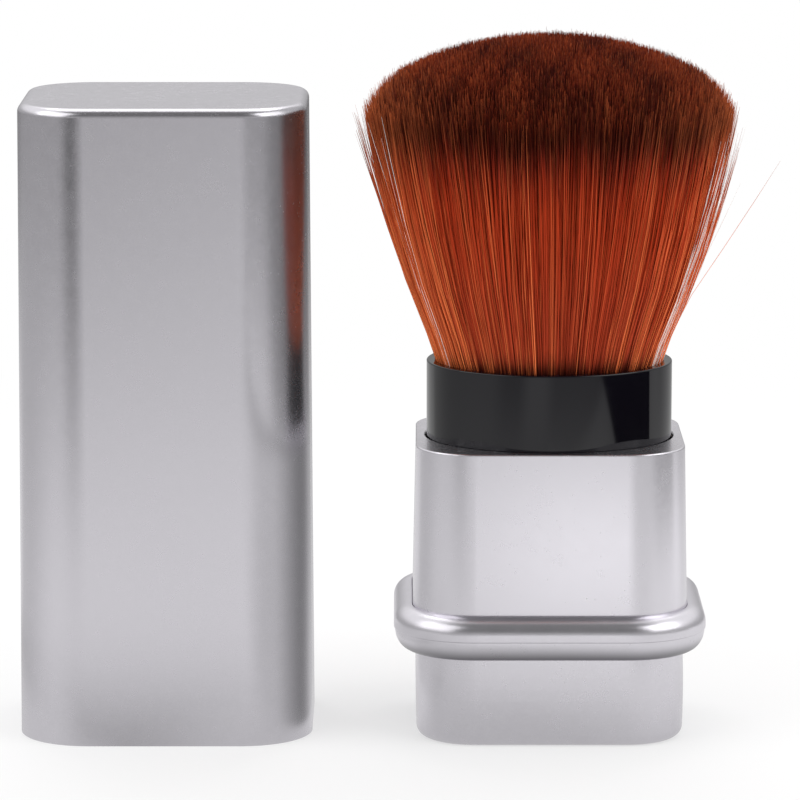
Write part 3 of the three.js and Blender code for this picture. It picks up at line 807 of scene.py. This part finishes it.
@dataclass
class Tuft:
    """The domed head of hair, which fans out of the ferrule.

    A fibre is named by its share, from 0 in the middle to 1 at the outside, and its turn round the
    tuft. At height z it stands at share times the oval whose half sizes swell from the ferrule's
    bore by an exponential that levels off.
    """

    root_inset: float = 0.8 * MM
    below_rim: float = 0.7 * MM
    half_x: float = 25.1 * MM
    half_y: float = 19.9 * MM
    flare_height: float = 34.0 * MM
    flare_rate: float = 1.05
    height: float = 45.0 * MM
    crown_drop: float = 7.9 * MM
    shoulder_drop: float = 2.0 * MM
    shoulder_power: int = 12
    sink: float = 0.25 * MM
    lean: float = 0.1 * MM
    pieces: int = 7
    fibres: int = 6300
    strays: int = 150
    ways: tuple[float, ...] = (0.0, 0.16, 0.37, 0.6, 0.82, 1.0)
    radius: float = 0.075 * MM
    tip_share: float = 0.25
    root_depth: float = 1.5 * MM
    fill_share: float = 0.92
    fill_depth: float = 3.0 * MM
    fill_drop: float = 2.5 * MM
    fill_foot: float = 2 * MM
    fill_end: float = 0.98
    fill_steps: tuple[int, int, int] = (24, 19, 120)
    fill_tone: float = 0.02
    # painted shade at the roots
    root_tone: float = 0.02
    turn_swing: float = 0.05
    lean_waves: Waves = ((0.010, 7, 9, 0), (0.008, 17, -5, 0))
    tone_waves: Waves = ((0.03, 23, 0, 0), (0.03, 41, 0, 2))
    dye_waves: Waves = ((0.7, 0.42, 0.3, 0), (0.5, 0.93, -0.5, 1), (0.8, 97.0, 61.0, 0))
    corner_turn: float = 1.7
    loose_from: float = 0.78
    short_outer: float = 1.3 * MM
    short_any: float = 0.12 * MM
    short_most: float = 7 * MM
    tip_swing: float = 0.22 * MM
    sway_swing: float = 0.02
    reach_swing: Span = (-0.004, 0.008)
    lean_swing: float = 0.28 * MM
    bow_swing: float = 0.16 * MM
    tone_swing: Span = (0.43, 0.12)
    tone_limits: Span = (0.02, 0.9)
    # painted light: lighter tones at the tuft's sides and back
    side_light: float = 0.21
    left_light: float = 0.03
    back_light: float = 0.28
    stray_radius: float = 0.62
    stray_right: float = 0.6
    stray_turns: tuple[Span, Span] = ((-0.5, 0.6), (-0.5, 0.5))
    stray_reach: tuple[Span, Span] = ((0.2 * MM, 1.7 * MM), (0.1 * MM, 2.2 * MM))
    stray_rise: tuple[Span, Span] = ((24 * MM, 33 * MM), (30 * MM, 36 * MM))
    stray_bend: tuple[Span, float] = ((1.0, 2.0), 3.0)
    stray_pale: Span = (0.3, 0.1)
    stray_tones: tuple[Span, float] = ((0.6, 0.9), 0.98)
    long_reach: Vector = (7.3 * MM, 3.4 * MM, 2.6 * MM)
    longest_rise: float = 28 * MM
    longest_bend: float = 1.15
    long_from: float = 2.5 * MM
    long_start: float = 0.3
    stand_off: float = 0.1 * MM
    seed: int = 41

    def root(self) -> Oval:
        """The oval that the fibres' roots fill."""
        half_x, half_y = half_sizes("ferrule")
        inset = Ferrule().wall + self.root_inset
        return Oval(half_x - inset, half_y - inset)

    def foot(self) -> float:
        """The height that the fibres start to fan out from."""
        return heights("ferrule")[1] - self.below_rim

    def spread(self, height: np.ndarray) -> tuple[np.ndarray, np.ndarray]:
        """The tuft's half width and half depth at each height.

        Args:
            height: Heights in metres.

        Returns:
            Root half size plus its growth times (1 - exp(-rate * s)) / (1 - exp(-rate)), where s is
            the height over the root as a share of the flare height.
        """
        root = self.root()
        share = np.maximum(height - self.foot(), 0) / self.flare_height
        swell = (1 - np.exp(-self.flare_rate * share)) / (1 - math.exp(-self.flare_rate))
        grown_x, grown_y = self.half_x - root.half_x, self.half_y - root.half_y
        return root.half_x + grown_x * swell, root.half_y + grown_y * swell

    def tip(self, share: np.ndarray) -> np.ndarray:
        """The dome's height at each share: the crown less a parabola and a late steep shoulder."""
        drop = self.crown_drop * share**2 + self.shoulder_drop * share**self.shoulder_power
        return heights("ferrule")[1] + self.height - drop

    def build(self, finish: FibreFinish) -> None:
        """Makes the filling, the fibres and the few that stand away from the rest.

        Args:
            finish: The fibres' colours.
        """
        material = finish.material()
        self.gather(self.filling(finish), material, "tuft_core_front", "tuft_core_back")
        rng = np.random.default_rng(self.seed)
        for number in range(self.pieces):
            piece = self.fibre_piece(f"fibres_{number + 1}", number, finish, rng)
            self.gather(piece, material, *(("tuft_fringe_left", "tuft_fringe_right") if number == 0 else ()))
        self.gather(self.stray_piece(finish, rng), material)

    def gather(self, piece: bpy.types.Object, material: bpy.types.Material, *nodes: str) -> None:
        """Dresses a piece, which rides on the base."""
        piece.data.materials.append(material)
        settle(piece, "base", "copper_fibre", *nodes)
        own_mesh(piece)

    def filling(self, finish: FibreFinish) -> bpy.types.Object:
        """The mass under the outermost fibres, so that no light shows through them, darkened by its low tone
        as painted shade.

        Returns:
            A closed skin at a share of the tuft's spread, up to a dome that lies under the tips.
        """
        side = self.fill_share
        straight, domed, around = self.fill_steps
        dome = side * np.cos(np.linspace(0, self.fill_end, domed)[1:] * math.pi / 2)
        shares = np.concatenate((np.full(straight, side), dome))
        levels = self.tip(shares) - self.fill_depth - self.fill_drop * (shares / side) ** 6
        levels[:straight] = np.linspace(self.foot() - self.fill_foot, levels[straight], straight + 1)[:-1]
        half_x, half_y = self.spread(levels)
        turn = np.arange(around) * 2 * math.pi / around
        x = (shares * half_x)[:, None] * np.cos(turn)
        y = (shares * half_y)[:, None] * np.sin(turn)
        rings = np.stack((x, y, np.broadcast_to(levels[:, None], x.shape)), axis=2)
        piece = lofted("hair_filling", rings, Axis.BRUSH, wraps=False)
        below = np.repeat(self.tip(shares) - levels, len(turn))
        # painted shade: the filling's low tone darkens it
        chart(piece.data, np.full(len(below), self.fill_tone), 1 - below / finish.span)
        return piece

    def fibre_piece(
        self, name: str, number: int, finish: FibreFinish, rng: np.random.Generator
    ) -> bpy.types.Object:
        """One of the pieces that the fibres are shared among.

        A fibre's share is the square root of its place among all, so that they fill the oval
        evenly, and neighbours in that order stand a golden angle apart. The piece's number
        interleaves its fibres with the others'.
        """
        order = np.arange(self.fibres) * self.pieces + number
        share = np.sqrt((order + rng.random(self.fibres)) / (self.fibres * self.pieces))
        turn = order * math.pi * (3 - math.sqrt(5)) + rng.normal(0, self.turn_swing, self.fibres)
        path = self.paths(share, turn, rng)
        return self.tubes(name, path, self.tones(share, turn, rng), self.radius, finish)

    def paths(self, share: np.ndarray, turn: np.ndarray, rng: np.random.Generator) -> np.ndarray:
        """Each fibre's middle line, as (fibres, rings, 3).

        The fibre follows the tuft's spread. A slow wave over the turn makes neighbours lean
        together, a small random swing about the axis crosses them, and a random lean grows with
        the square of the way to the tip. Outer fibres end a random length short of the dome.
        """
        count = len(share)
        outer = np.clip((share - self.loose_from) / (1 - self.loose_from), 0, 1)
        short = rng.exponential(self.short_outer, count) * outer + rng.exponential(self.short_any, count)
        tip = self.tip(share) - self.sink - np.minimum(short, self.short_most)
        tip = tip + rng.normal(0, self.tip_swing, count)
        way, z, half_x, half_y = self.rise(tip)
        wave = waves(self.lean_waves, turn, share)
        sway = wave[:, None] * way**2 + rng.normal(0, self.sway_swing, (count, 1)) * way
        reach = share[:, None] * (1 + rng.normal(*self.reach_swing, (count, 1)) * way**2)
        lean = rng.normal(0, self.lean_swing, (2, count, 1)) * way**2
        bow = rng.normal(0, self.bow_swing, (2, count, 1)) * np.sin(math.pi * way)
        x = reach * half_x * np.cos(turn[:, None] + sway) + lean[0] + bow[0] - self.lean * way**2
        y = reach * half_y * np.sin(turn[:, None] + sway) + lean[1] + bow[1]
        return np.stack((x, y, z), axis=2)

    def rise(self, tip: np.ndarray) -> tuple[np.ndarray, ...]:
        """The ways up to each tip, and the heights, half widths and half depths of the tuft there."""
        way = np.array(self.ways)[None, :]
        foot = self.foot() - self.root_depth
        z = foot + (tip[:, None] - foot) * way
        return way, z, *self.spread(z)

    def tones(self, share: np.ndarray, turn: np.ndarray, rng: np.random.Generator) -> np.ndarray:
        """Each fibre's tone: chance, streaks over the turn, and a rim of painted light at the sides and back.
        """
        chance = rng.normal(*self.tone_swing, len(share))
        streaks = waves(self.tone_waves, turn, share)
        front = np.maximum(-np.sin(turn), 0)
        aside = np.cos(turn)
        # painted light: the sides and back get lighter tones
        sides = (self.side_light - self.left_light * aside) * (share * np.abs(aside)) ** 3
        back = self.back_light * share**6 * (1 - np.sqrt(front))
        return np.clip(chance + streaks + (sides + back), *self.tone_limits)

    def drawn(self, right: np.ndarray, spans: tuple[Span, Span], rng: np.random.Generator) -> np.ndarray:
        """A random value for each stray, from the span of its own side, right or left."""
        own, other = (rng.uniform(*span, len(right)) for span in spans)
        return np.where(right, own, other)

    def stray_piece(self, finish: FibreFinish, rng: np.random.Generator) -> bpy.types.Object:
        """The loose fibres at the tuft's two sides, more and paler on the right.

        A stray starts in the outermost ring and leans out by its own reach times the way to its
        tip to a power. The long ones, of which the first is the longest, start to lean higher up.
        """
        count = self.strays
        right = np.arange(count) < self.stray_right * count
        turn = self.drawn(right, self.stray_turns, rng) + np.where(right, 0.0, math.pi)
        reach = self.drawn(right, self.stray_reach, rng)
        reach[:3] = self.long_reach
        turn[0] = 0.0
        tip = self.foot() + self.drawn(right, self.stray_rise, rng)
        tip[0] = self.foot() + self.longest_rise
        way, z, half_x, half_y = self.rise(tip)
        bend = np.where(right, rng.uniform(*self.stray_bend[0], count), self.stray_bend[1])
        bend[0] = self.longest_bend
        start = np.where(reach > self.long_from, self.long_start, 0.0)[:, None]
        out = reach[:, None] * np.maximum((way - start) / (1 - start), 0) ** bend[:, None] + self.stand_off
        x = (half_x + out) * np.cos(turn[:, None])
        y = (half_y + out) * np.sin(turn[:, None])
        pale = rng.random(count) < np.where(right, *self.stray_pale)
        tone = np.where(pale, self.stray_tones[1], rng.uniform(*self.stray_tones[0], count))
        path = np.stack((x, y, z), axis=2)
        return self.tubes("stray_fibres", path, tone, self.stray_radius * self.radius, finish)

    def tubes(
        self, name: str, path: np.ndarray, tone: np.ndarray, radius: float, finish: FibreFinish
    ) -> bpy.types.Object:
        """Three-sided tubes along the paths, thin at the tip.

        Corner k of a ring lies at its middle plus the radius times (cosine, sine) of k thirds of a
        turn. The radius falls with the eighth power of the way to the tip.

        Args:
            name: The object's name.
            path: The middle lines, as (fibres, rings, 3).
            tone: Each fibre's tone, which is its map's U.
            radius: The fibres' radius.
            finish: The fibres' colours, whose span scales the map's V.

        Returns:
            The object, with V in its map falling from 1 at each tip.
        """
        count, rings = path.shape[:2]
        thickness = radius * (1 - (1 - self.tip_share) * np.array(self.ways) ** 8)
        angle = np.arange(3) * 2 * math.pi / 3 + np.arange(count)[:, None] * self.corner_turn
        around = np.stack((np.cos(angle), np.sin(angle), np.zeros_like(angle)), axis=2)
        corners = path[:, :, None, :] + thickness[None, :, None, None] * around[:, None, :, :]
        start = np.arange(count)[:, None, None] * rings * 3
        level = np.arange(rings - 1)[None, :, None] * 3
        side = np.arange(3)[None, None, :]
        here = start + level + side
        onward = start + level + (side + 1) % 3
        quads = np.stack((here, onward, onward + 3, here + 3), axis=3).reshape(-1)
        tips = (start[:, :, 0] + (rings - 1) * 3 + np.arange(3)[None, :]).reshape(-1)
        mesh = mesh_of(name, corners.reshape(-1, 3), quads, tips)
        below = path[:, -1:, 2] - path[:, :, 2]
        along = 1 - (below + self.drift(path)) / finish.span
        # painted shade: the root ring takes the ramp's darkest stop
        along[:, 0] = self.root_tone
        chart(mesh, np.repeat(tone, rings * 3), along.repeat(3, axis=1).ravel())
        return placed(name, mesh)

    def drift(self, path: np.ndarray) -> np.ndarray:
        """How far the dye lies off its usual depth on each fibre, so that its bands waver.

        It is two slow waves over the fibre's place across the tuft and a quick one that stands for
        chance, in (fibres, 1).
        """
        x, y = path[:, -1, 0] / MM, path[:, -1, 1] / MM
        return MM * waves(self.dye_waves, x, y)[:, None]


def waves(rows: Waves, first: np.ndarray, second: np.ndarray) -> np.ndarray:
    """The sum of sine waves over two values, whose rows are (size, rate, other rate, phase)."""
    return sum(size * np.sin(a * first + b * second + phase) for size, a, b, phase in rows)


def mesh_of(name: str, places: np.ndarray, quads: np.ndarray, tips: np.ndarray) -> bpy.types.Mesh:
    """A smooth mesh from flat arrays of corners: quads first, then the triangles at the tips."""
    mesh = bpy.data.meshes.new(name)
    mesh.vertices.add(len(places))
    mesh.vertices.foreach_set("co", places.ravel())
    corners = np.concatenate((quads, tips)).astype(np.int32)
    mesh.loops.add(len(corners))
    mesh.loops.foreach_set("vertex_index", corners)
    sizes = np.concatenate((np.full(len(quads) // 4, 4), np.full(len(tips) // 3, 3)))
    mesh.polygons.add(len(sizes))
    mesh.polygons.foreach_set("loop_start", (np.cumsum(sizes) - sizes).astype(np.int32))
    mesh.update(calc_edges=True)
    mesh.shade_smooth()
    return mesh


ALONG_LIMITS = (0.002, 0.998)


def chart(mesh: bpy.types.Mesh, tone: np.ndarray, along: np.ndarray) -> None:
    """Writes each point's tone and V, kept inside the map's limits, into the fibre map."""
    corners = np.empty(len(mesh.loops), dtype=np.int32)
    mesh.loops.foreach_get("vertex_index", corners)
    pairs = np.stack((tone, np.clip(along, *ALONG_LIMITS)), axis=1)[corners]
    mesh.uv_layers.new(name=FIBRE_MAP).uv.foreach_set("vector", pairs.ravel())


# Studio


@dataclass
class FloorGloss:
    """How bright gloss sees the floor, a glow painted for the metal's reflections, by steps over places in
    metres and turns in radians.

    It is a table that dims away from the object, more so on the cap's flanks, and towards each
    foot, the cap's above all, as painted shade. It is lighter in front of the brush and in a ring to its
    right, as painted light, darker behind on the right, and a dark stretch painted like a card lies
    out on the right. Turns are counted from straight ahead, to the right about the brush's axis, and to
    either side about the cap's.
    """

    net: Network
    point: Socket

    TABLE = Ramp(0.12, 0.7, 0.8, 0.4)
    BESIDE_TURNS = (Ramp(0.6, 1.0), Ramp(1.8, 2.2, 1.0, 0.0))
    BESIDE_RING = (Ramp(0.08, 0.15, 0.0, 0.3), Ramp(0.2, 0.215, 0.0, 0.3))
    BEHIND = (Ramp(1.7, 2.1), Ramp(0.15, 0.3, 0.0, 0.3))
    BRUSH_HALF = (18.2 * MM, 16 * MM)
    BRUSH_FOOT = Ramp(0.0, 0.05, 0.86, 1.0)
    CAP_HALF = (20 * MM, 17.8 * MM)
    CAP_FOOT = Ramp(0.0, 0.075)
    CAP_GAP = (Ramp(-0.06, -0.04), Ramp(0.0, 0.018, 1.0, 0.5))
    CAP_LEFT = Ramp(0.25, 0.9, 0.0, 0.55)
    CAP_SHADE = 0.54
    CARD_EDGE, CARD_SLANT = Ramp(1.71, 1.75), 3.17
    CARD_TURN, CARD_REACH, CARD_LEFT = 1.7, 0.35, 0.02
    CARD_START = Ramp(0.212, 0.222)
    STRIP = (Ramp(0.06, 0.3), Ramp(0.42, 0.78, 0.0, 0.6))
    STRIP_NEAR, STRIP_FAR = 0.3, Ramp(0.2, 0.9, 0.0, 0.33)
    RIGHT = (Ramp(0.06, 0.28, 0.0, 0.28), Ramp(0.5, 0.95, 0.0, 0.04))
    RIGHT_END = Ramp(1.4, 1.9, 1.0, 0.0)
    LANE_LIFT, LANE = 0.07, Ramp(0.205, 0.31)
    BACK_TONE, BACK_START = Ramp(0.2, 0.55, 0.2, -0.07), Ramp(0.08, 0.12)
    BACK_TURNS = (Ramp(0.9, 1.9), Ramp(2.33, 2.5, 1.0, 0.0))
    PATCH_ACROSS = (Ramp(-0.01, 0.003), Ramp(0.006, 0.065, 1.0, 0.15))
    PATCH_DEEP = (Ramp(0.11, 0.185), Ramp(0.2, 0.232, 1.0, 0.0))
    PATCH_GAIN = 1.6

    def tone(self) -> Socket:
        """The floor's brightness in gloss."""
        net = self.net
        aside, back, _ = net.parts(self.point)
        forward = net.times(back, -1.0)
        distance = net.stepped("LENGTH", self.point)
        turn = net.arithmetic("ARCTAN2", aside, forward)
        right = net.arithmetic("ARCTAN2", net.minus(aside, Axis.CAP.value[0]), forward)
        left = net.times(right, -1.0)
        table = net.minus(net.ramp(distance, self.TABLE), self.flanks(distance, left, right))
        ring = net.minus(*self.stepping(distance, self.BESIDE_RING))
        table = net.plus(table, net.times(ring, *self.stepping(turn, self.BESIDE_TURNS)))
        behind = net.times(net.ramp(turn, self.BEHIND[0]), net.ramp(distance, self.BEHIND[1]))
        lit = net.minus(net.plus(table, self.patch(aside, forward)), behind)
        # painted shade: the glow darkens towards each foot
        brush = net.ramp(self.off_foot(Axis.BRUSH, self.BRUSH_HALF), self.BRUSH_FOOT)
        cap = net.ramp(self.off_foot(Axis.CAP, self.CAP_HALF), self.CAP_FOOT)
        gap = net.times(net.ramp(aside, self.CAP_GAP[0]), net.ramp(forward, self.CAP_GAP[1]))
        cap = net.most(cap, gap, net.ramp(left, self.CAP_LEFT))
        lit = net.times(lit, brush, net.between(cap, self.CAP_SHADE, 1.0))
        edge = net.ramp(net.plus(turn, net.times(distance, self.CARD_SLANT)), self.CARD_EDGE)
        inside = net.arithmetic("LESS_THAN", turn, self.CARD_TURN)
        near = net.arithmetic("LESS_THAN", distance, self.CARD_REACH)
        card = net.times(edge, inside, near, net.ramp(distance, self.CARD_START))
        return net.times(lit, net.between(card, 1.0, self.CARD_LEFT))

    def stepping(self, value: Socket, steps: tuple[Ramp, ...]) -> list[Socket]:
        """Several steps over one value."""
        return [self.net.ramp(value, step) for step in steps]

    def flanks(self, distance: Socket, left: Socket, right: Socket) -> Socket:
        """How much darker the floor is further out, by its turn about the cap's axis.

        A bright lane lies ahead of the cap. A strip to its left is the darkest, and the right is
        dark up to a turn past the side. Behind on the left it is dark, and lighter far out.
        """
        net = self.net
        strip = net.minus(*self.stepping(left, self.STRIP))
        far = net.times(strip, net.ramp(distance, self.STRIP_FAR))
        beyond = net.times(net.plus(*self.stepping(right, self.RIGHT)), net.ramp(right, self.RIGHT_END))
        lane = net.minus(net.plus(net.times(strip, self.STRIP_NEAR), beyond), self.LANE_LIFT)
        lane = net.times(lane, net.ramp(distance, self.LANE))
        back = net.times(*self.stepping(distance, (self.BACK_TONE, self.BACK_START)))
        back = net.times(back, *self.stepping(left, self.BACK_TURNS))
        return net.plus(lane, far, back)

    def patch(self, aside: Socket, forward: Socket) -> Socket:
        """The painted patch of light in front of the brush, whose left edge is sharper than its right."""
        across = self.stepping(aside, self.PATCH_ACROSS)
        return self.net.times(*across, *self.stepping(forward, self.PATCH_DEEP), self.PATCH_GAIN)

    def off_foot(self, axis: Axis, half: Span) -> Socket:
        """How far a place on the floor lies outside a rounded outline.

        It is the length of what is left of (|x|, |y|) over the straight sides' half lengths, less
        the corner's radius.
        """
        net = self.net
        from_axis = net.stepped("SUBTRACT", self.point, (*axis.value, 0.0))
        sides = (half[0] - BODY_CORNER, half[1] - BODY_CORNER, 0.0)
        over = net.stepped("SUBTRACT", net.stepped("ABSOLUTE", from_axis), sides)
        return net.minus(net.stepped("LENGTH", net.stepped("MAXIMUM", over)), BODY_CORNER)


@dataclass
class SideCard:
    """An upright card in the gap, which only gloss that leaves the cap sees: a glowing sheet that paints a
    dark reflection.

    It hides the brush's lower half from the cap's right side. It is darkest a little in front of
    the brush's axis, and lighter towards both ends and at the foot behind. Above that, a thin grey
    film dims the hair's reflection, as painted shade.
    """

    x: float = -26.5 * MM
    front: float = -110 * MM
    back: float = 40 * MM
    top: float = 110 * MM

    FRONT = (Ramp(-0.0225, -0.006, 0.32, 0.0), Ramp(-0.075, -0.02, 0.17, 0.0))
    BACK = Ramp(-0.006, 0.006, 0.0, 0.25)
    FOOT = (Ramp(0.0, 0.035, 0.15, 0.0), Ramp(-0.009, 0.0))
    LEVEL = 0.21
    SOLID = Ramp(0.037, 0.043, 1.0, 0.0)
    FILM = (Ramp(-0.03, -0.012, 0.0, 0.5), Ramp(0.004, 0.02, 0.0, 0.5))
    FILM_GLOW = 0.1

    def build(self) -> None:
        """Makes the card and its glow."""
        made, net = new_material("grey_card")
        _, depth, height = net.parts(net.place())
        foot = net.times(net.ramp(height, self.FOOT[0]), net.ramp(depth, self.FOOT[1]))
        near = net.plus(net.ramp(depth, self.FRONT[0]), net.ramp(depth, self.BACK), foot)
        level = net.plus(near, net.ramp(depth, self.FRONT[1]), self.LEVEL)
        solid = net.ramp(height, self.SOLID)
        film = net.minus(net.ramp(depth, self.FILM[0]), net.ramp(depth, self.FILM[1]))
        faced = net.minus(1.0, net.node("NewGeometry").outputs["Backfacing"])
        shown = net.times(faced, net.most(solid, film))
        clear = net.node("BsdfTransparent").outputs[0]
        net.glow_over(shown, clear, net.times(level, net.between(solid, self.FILM_GLOW, 1.0)))
        x, front, back, top = self.x, self.front, self.back, self.top
        card = sheet("side_card", [(x, front, 0), (x, front, top), (x, back, top), (x, back, 0)], made)
        card.visible_camera = card.visible_diffuse = False
        card.visible_transmission = card.visible_shadow = False
        card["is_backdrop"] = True


def sheet(name: str, corners: list[Vector], material: bpy.types.Material) -> bpy.types.Object:
    """A flat sheet between four corners, whose glow isn't sampled as a lamp."""
    mesh = bpy.data.meshes.new(name)
    mesh.from_pydata(corners, [], [(0, 1, 2, 3)])
    material.cycles.emission_sampling = "NONE"
    mesh.materials.append(material)
    return placed(name, mesh)


@dataclass
class Studio:
    """The pale floor, the side card, the surround, the soft lights and the camera."""

    camera_place: Vector = (-20.5 * MM, -672 * MM, 163 * MM)
    camera_pitch: float = 9.95
    camera_clip: Span = (0.01, 20)
    lens: float = 223.2
    sensor: float = 36.0
    floor_half: float = 3.0
    floor_grey: float = 0.86
    floor_roughness: float = 0.8
    lamp_distance: float = 0.95
    lamp_aim: Vector = (-20 * MM, 0, 45 * MM)
    ambient: float = 0.8

    WHITEN = Ramp(0.05, 0.3, 0.5, 1.0)
    HORIZON = (Ramp(-0.9, 0.3, 0.4, 0.38), Ramp(0.3, 0.9, 0.0, 0.04))
    OVERHEAD = Ramp(-0.25, 0.1, 0.12, 0.9)
    RISE = Ramp(0.12, 0.45)

    def build(self) -> None:
        """Makes the floor, the card, the surround, the lamps and the camera."""
        self.floor()
        SideCard().build()
        self.surround()
        self.lamp("left_lamp", -62, 36, (0.9, 0.75), 2.7)
        self.lamp("right_lamp", 62, 36, (0.75, 0.65), 2.9)
        self.lamp("top_lamp", 180, 62, (0.7, 0.4), 2.4)
        self.camera()

    def floor(self) -> None:
        """The floor: pale, with the object's shadow, whiter where the camera sees it, and a painted glow
        where gloss sees it.
        """
        made, net = new_material("pale_floor")
        shader = net.tree.nodes["Principled BSDF"]
        shader.inputs["Base Color"].default_value = opaque((self.floor_grey,) * 3)
        shader.inputs["Roughness"].default_value = self.floor_roughness
        shader.inputs["Specular IOR Level"].default_value = 0.0
        ray = net.node("LightPath").outputs
        eye, gloss = ray["Is Camera Ray"], ray["Is Glossy Ray"]
        point = net.place()
        whiten = net.ramp(net.stepped("LENGTH", point), self.WHITEN)
        share = net.plus(net.times(whiten, eye), gloss)
        strength = net.plus(net.times(gloss, FloorGloss(net, point).tone()), eye)
        net.glow_over(share, shader.outputs[0], strength)
        reach = self.floor_half
        corners = [(-reach, -reach, 0), (reach, -reach, 0), (reach, reach, 0), (-reach, reach, 0)]
        floor = sheet("floor", corners, made)
        floor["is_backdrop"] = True

    def surround(self) -> None:
        """The surround: white to the camera, and to gloss a studio that is dark behind the camera.

        Its brightness near the horizon and its brightness overhead are each made of smooth steps
        over how far a direction points away from the camera. A step over its height blends the two.
        """
        world = bpy.data.worlds.new("studio")
        world.use_nodes = True
        net = Network(world.node_tree)
        _, away, up = net.parts(net.place("Generated"))
        low = net.plus(net.ramp(away, self.HORIZON[0]), net.ramp(away, self.HORIZON[1]))
        gloss = net.mixed(net.ramp(up, self.RISE), low, net.ramp(away, self.OVERHEAD))
        ray = net.node("LightPath").outputs
        eye = net.most(ray["Is Camera Ray"], ray["Is Transmission Ray"])
        ambient = net.mixed(ray["Is Glossy Ray"], self.ambient, gloss)
        shader = net.tree.nodes["Background"].inputs
        net.feed(shader["Strength"], net.mixed(eye, ambient, 1.0))
        shader["Color"].default_value = (1, 1, 1, 1)
        world.cycles.sampling_method = "NONE"
        bpy.context.scene.world = world

    def lamp(self, name: str, turn: float, rise: float, size: Span, power: float) -> None:
        """A soft box that faces the object.

        Args:
            name: The lamp's name.
            turn: Its turn to the right of the camera, in degrees.
            rise: Its height over the horizon, in degrees.
            size: Its width and height.
            power: Its power in watts.
        """
        data = bpy.data.lights.new(name, "AREA")
        data.shape = "RECTANGLE"
        data.size, data.size_y = size
        data.energy = power
        lamp = bpy.data.objects.new(name, data)
        side, lift = math.radians(turn), math.radians(rise)
        out = np.array((math.cos(lift) * math.sin(side), -math.cos(lift) * math.cos(side), math.sin(lift)))
        lamp.location = self.lamp_distance * out + self.lamp_aim
        lamp.rotation_euler = (math.pi / 2 - lift, 0, side)
        bpy.context.scene.collection.objects.link(lamp)

    def camera(self) -> None:
        """The camera at the photograph's viewing angle."""
        data = bpy.data.cameras.new("view")
        data.lens = self.lens
        data.sensor_width = self.sensor
        data.clip_start, data.clip_end = self.camera_clip
        camera = bpy.data.objects.new("view", data)
        camera.location = self.camera_place
        camera.rotation_euler = (math.radians(90 - self.camera_pitch), 0, 0)
        bpy.context.scene.collection.objects.link(camera)
        bpy.context.scene.camera = camera


def as_lists(bounds: object) -> list[list[float]]:
    """A pair of corners as plain lists of numbers."""
    return [[float(value) for value in corner] for corner in bounds]


def main() -> list[list[float]]:
    """Builds the scene.
    """
    logging.basicConfig(level=logging.INFO, format="%(name)s: %(message)s")
    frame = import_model()
    cad_box = as_lists(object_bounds())
    bpy.context.scene.view_settings.view_transform = "Standard"
    fine_grain_group()
    handling_group()
    HiddenPieces().build(frame["nodes"])
    BaseCup().build()
    SlidingCollar().build()
    Ferrule().build()
    Cap().build()
    Tuft().build(FibreFinish())
    Studio().build()
    return cad_box


if __name__ == "__main__":
    cad_bounds = main()
